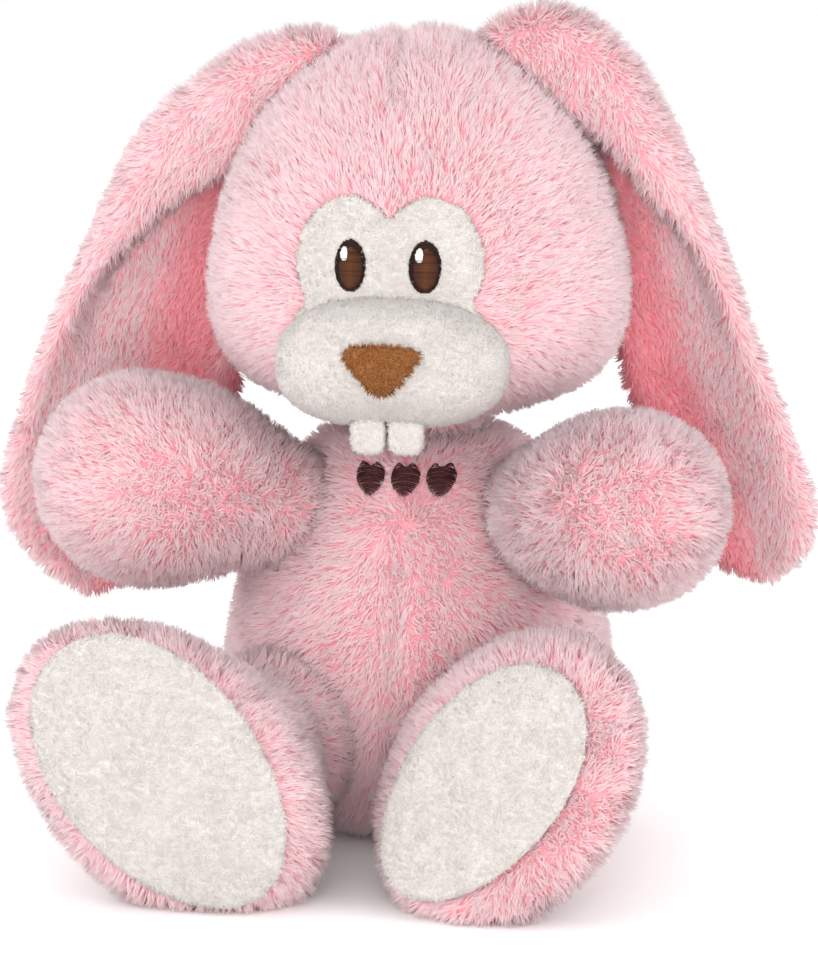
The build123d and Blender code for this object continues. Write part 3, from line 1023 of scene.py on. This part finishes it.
def body_comb(p):
    """The body's pile is brushed down, and apart from the seam in the middle."""
    return unit(np.stack([np.sign(p[:, 0]) * 0.45, np.zeros(len(p)), -np.ones(len(p))], 1))


def off_face(p, n):
    """Outside the mask and the muzzle."""
    front = p[:, 1] < 0
    return ~(front & (in_mask(p[:, 0], p[:, 2], -0.6 * MM) | in_muzzle(p[:, 0], p[:, 2], -3 * MM)))


def by_hearts(p, n):
    """On the strip of the chest that carries the hearts."""
    return (p[:, 1] < 0) & (np.abs(p[:, 2] - HEART_Z) < 5 * MM) & (np.abs(p[:, 0]) < 16 * MM)


def from_point(place):
    """Pile that is brushed away from a place."""
    return lambda p: unit(p - place)


fur("head_fur", head_skin, head_comb, PER_MM2["head"], 101, "head", off_face)
fur("body_fur", body_skin, body_comb, PER_MM2["body"], 102, "torso", lambda p, n: ~by_hearts(p, n))
fur("neck_fur", neck_skin, body_comb, PER_MM2["neck"], 103, "neck")
fur("tail_fur", tail_skin, from_point(pivot("tail_wag")), PER_MM2["tail"], 104, "tail", lean=0.4)

rng = np.random.default_rng(105)
roots, facing = scattered(body_skin, PER_MM2["chest"], rng, by_hearts)
strands("chest_pile", roots, facing, body_comb(roots), CHEST_PILE, CHEST_WIDTH, rng, PINK_FUR,
        "torso", lean=0.9)

for number, (side, sign) in enumerate(SIDES.items()):
    seed = 200 + 10 * number  # of the random draws of this side's pieces
    ear = ears[side][0]
    finish_skin(ear, f"ear_{side}", PINK_BACKING,
                  [f"ear_{side}_front", f"ear_{side}_back"])
    down = unit(np.array([[sign * 0.45, 0, -1.0]]))
    # The pile in the ear's hollow gets painted shade, deepest next to the head.
    fur(f"ear_{side}_fur", ear, lambda p: np.repeat(down, len(p), 0), PER_MM2["ear"], seed,
        f"ear_{side}", length=EAR_PILE, painted_hollow_shade_of=lambda p, n: ear_painted_hollow_shade(p, n, side))

    arm = arm_skins[side]
    finish_skin(arm, f"arm_{side}", PINK_BACKING,
                  [f"arm_{side}_shell", f"arm_{side}_stuffing"])
    fur(f"arm_{side}_fur", arm, from_point(pivot(f"arm_{side}_raise")), PER_MM2["arm"], seed + 1,
        f"arm_{side}")

    centre, out, long_way, short_way, reach, wide = soles[side]
    sole = sole_mesh(side)
    finish_skin(sole, f"leg_{side}", WHITE_BACKING, [f"sole_{side}"])

    def off_sole(p, n):
        """Outside the pad, apart from its very edge."""
        d = p - centre
        oval = ((d @ long_way) / reach) ** 2 + ((d @ short_way) / wide) ** 2
        return ~((oval < 0.88) & (d @ out > -6 * MM))

    def foot_comb(p):
        """The foot's pile is brushed away from the sole's middle, and forward."""
        d = p - centre
        return unit(unit(d - np.outer(d @ out, out)) + 0.5 * out)

    leg = leg_skins[side]
    finish_skin(leg, f"leg_{side}", PINK_BACKING,
                  [f"leg_{side}_shell", f"leg_{side}_stuffing"])
    fur(f"leg_{side}_fur", leg, foot_comb, PER_MM2["leg"], seed + 2, f"leg_{side}", off_sole)
    nap(f"sole_{side}_nap", sole, FLEECE_PILE, PER_MM2["fleece"], seed + 3, f"leg_{side}",
        WHITE_FUR, lambda p, n: n @ out > -0.2)

    tooth = tooth_mesh(side)
    finish_skin(tooth, "head", WHITE_BACKING, [f"tooth_{side}"])
    nap(f"tooth_{side}_nap", tooth, TOOTH_PILE, PER_MM2["tooth"], seed + 4, "head", WHITE_FUR)


def around_eyes(p, n):
    """The front of the mask, outside the embroidered eyes."""
    eyes = in_oval(np.abs(p[:, 0] - FACE_X) - EYE_X, p[:, 2] - EYE_Z, 4.8 * MM, 7.8 * MM)
    return ~eyes & (n[:, 1] < 0.2)


def forward(p, n):
    """All but what faces back."""
    return n[:, 1] < 0.3


nap("face_mask_nap", face_mask, FLEECE_PILE, PER_MM2["fleece"], 301, "head", WHITE_FUR,
    around_eyes)
nap("muzzle_nap", muzzle_skin, FLEECE_PILE, PER_MM2["fleece"], 302, "head", WHITE_FUR,
    forward)
nap("nose_nap", nose_skin, NOSE_PILE, PER_MM2["fleece"], 303, "head", BROWN_FUR,
    forward)


# ---------------------------------------------------------------- floor, light and camera

FLOOR_REACH = 12.0  # metres each way
LIT = (0, -0.03, 0.13)  # where every light points
WORLD_STRENGTH = 1.02


def pale_floor():
    """A wide, flat, pale floor."""
    corners = [(x * FLOOR_REACH, y * FLOOR_REACH, 0) for x, y in ((-1, -1), (1, -1), (1, 1), (-1, 1))]
    obj = mesh_object("studio_floor", corners, [(0, 1, 2, 3)], False)
    mat, _ = material("studio_paper", 0.9, (0.97, 0.97, 0.97), specular=0.1)
    paint(obj, mat)


def area_light(name, place, size, power, color=(1, 1, 1)):
    """A square light of that size in metres and power in watts, pointed at the toy."""
    light = bpy.data.lights.new(name, "AREA")
    light.size = size
    light.energy = power
    light.color = color
    obj = new_object(name, light)
    obj.location = place
    obj.rotation_euler = (Vector(LIT) - Vector(place)).to_track_quat("-Z", "Y").to_euler()


pale_floor()
area_light("left_soft", (-1.3, -0.7, 0.6), 0.9, 7)
area_light("right_soft", (1.4, -0.6, 0.5), 0.9, 7)
area_light("top_soft", (0.0, 0.3, 1.7), 1.2, 3)
area_light("back_soft", (-0.3, 1.7, 0.8), 1.1, 12)
area_light("front_fill", (0.1, -1.7, 0.12), 1.4, 22, (1, 0.94, 0.92))

world = bpy.data.worlds.new("studio")
world.use_nodes = True
world.node_tree.nodes["Background"].inputs["Color"].default_value = (1, 1, 1, 1)
world.node_tree.nodes["Background"].inputs["Strength"].default_value = WORLD_STRENGTH
bpy.context.scene.world = world
bpy.context.scene.view_settings.view_transform = "Standard"

AZIMUTH, ELEVATION = np.radians(8), np.radians(12)  # to the toy's left, and above level
DISTANCE = 1.25
AIM = Vector((-0.001, -0.015, 0.1127))
level = np.cos(ELEVATION)
looking = Vector((-np.sin(AZIMUTH) * level, np.cos(AZIMUTH) * level, -np.sin(ELEVATION)))
lens = bpy.data.cameras.new("camera")
lens.sensor_width = 36
lens.lens = 145.3
camera = new_object("camera", lens)
camera.location = AIM - looking * DISTANCE
camera.rotation_euler = looking.to_track_quat("-Z", "Y").to_euler()
bpy.context.scene.camera = camera
